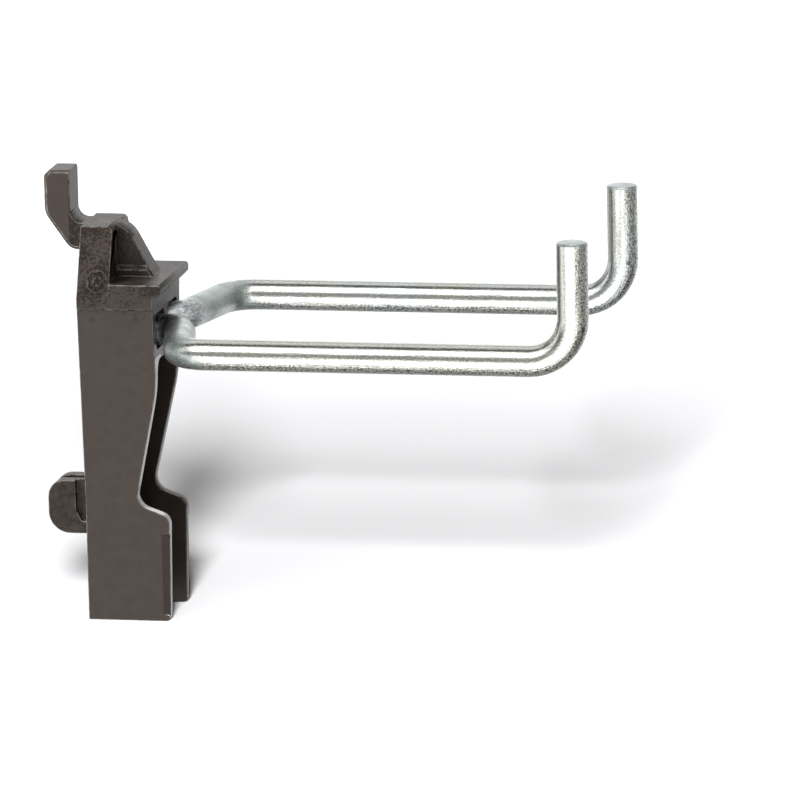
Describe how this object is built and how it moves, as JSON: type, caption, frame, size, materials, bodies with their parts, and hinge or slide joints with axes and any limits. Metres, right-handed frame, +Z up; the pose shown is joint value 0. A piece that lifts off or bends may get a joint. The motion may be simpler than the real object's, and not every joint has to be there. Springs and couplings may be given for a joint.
{
  "type": "pegboard double hook",
  "caption": "Moulded plastic clip for a square-hole pegboard holding a bent wire double hook with upturned tips, for hanging tools.",
  "frame": {"origin": "on the flat rear face that lies on the board, on the symmetry plane of the clip, level with the centreline of the wire", "axes": "+X out from the board along the wire's arms, +Y across the board, +Z up"},
  "size_m": [0.0741, 0.042, 0.0583],
  "materials": {
    "dark_plastic": "moulded, dull sheen, brown-black",
    "zinc_plated_steel": "bright zinc plate on drawn wire"
  },
  "bodies": {
    "root": {"clip_body": "dark_plastic", "double_hook": "zinc_plated_steel"}
  },
  "joints": []
}
